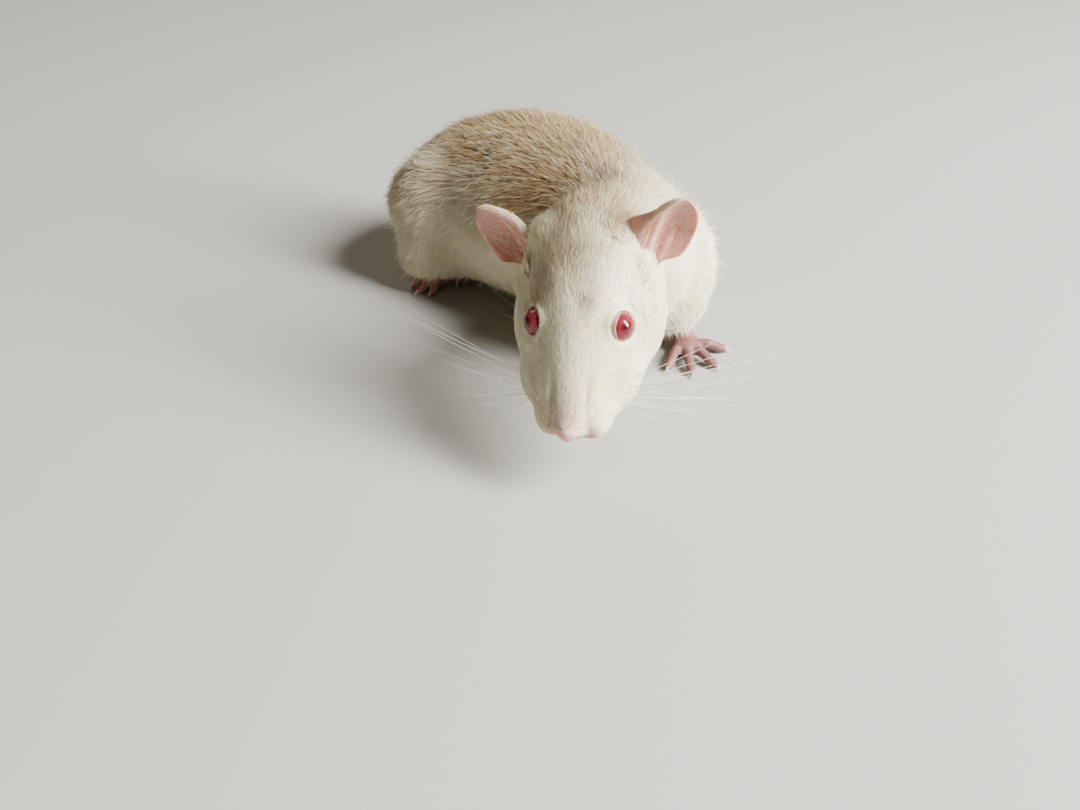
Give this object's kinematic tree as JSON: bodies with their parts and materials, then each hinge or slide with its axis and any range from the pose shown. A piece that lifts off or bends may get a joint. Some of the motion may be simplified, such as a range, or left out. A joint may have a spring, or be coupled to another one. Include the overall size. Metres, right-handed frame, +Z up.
{
  "type": "rat",
  "caption": "Life-size pale rat crouched on the floor, body bent in a curve, head turned forward and nose lowered, tail laid round behind.",
  "frame": {"origin": "middle of the bounding box's underside, on the floor", "axes": "+Z up; +Y from the nose to the tail side; +X towards the shoulders, so the rump is on the -X side"},
  "size_m": [0.1012, 0.161, 0.0636],
  "materials": {
    "coat": "short dense fur, white below and on the face, pale fawn on the crown and back",
    "bare_skin": "thin pink skin with sparse fine hairs",
    "eye": "wet ruby red"
  },
  "bodies": {
    "root": {"head": "coat", "neck": "coat", "chest": "coat", "belly": "coat", "rump": "coat", "foreleg_left": "coat", "foreleg_right": "coat", "hindleg_left": "coat", "hindleg_right": "coat", "eye_left": "eye", "eye_right": "eye", "ear_left": "bare_skin", "ear_right": "bare_skin", "forepaw_left": "bare_skin", "forepaw_right": "bare_skin", "hindpaw_left": "bare_skin", "hindpaw_right": "bare_skin", "tail_1": "bare_skin", "tail_2": "bare_skin", "tail_3": "bare_skin", "tail_4": "bare_skin"}
  },
  "joints": []
}
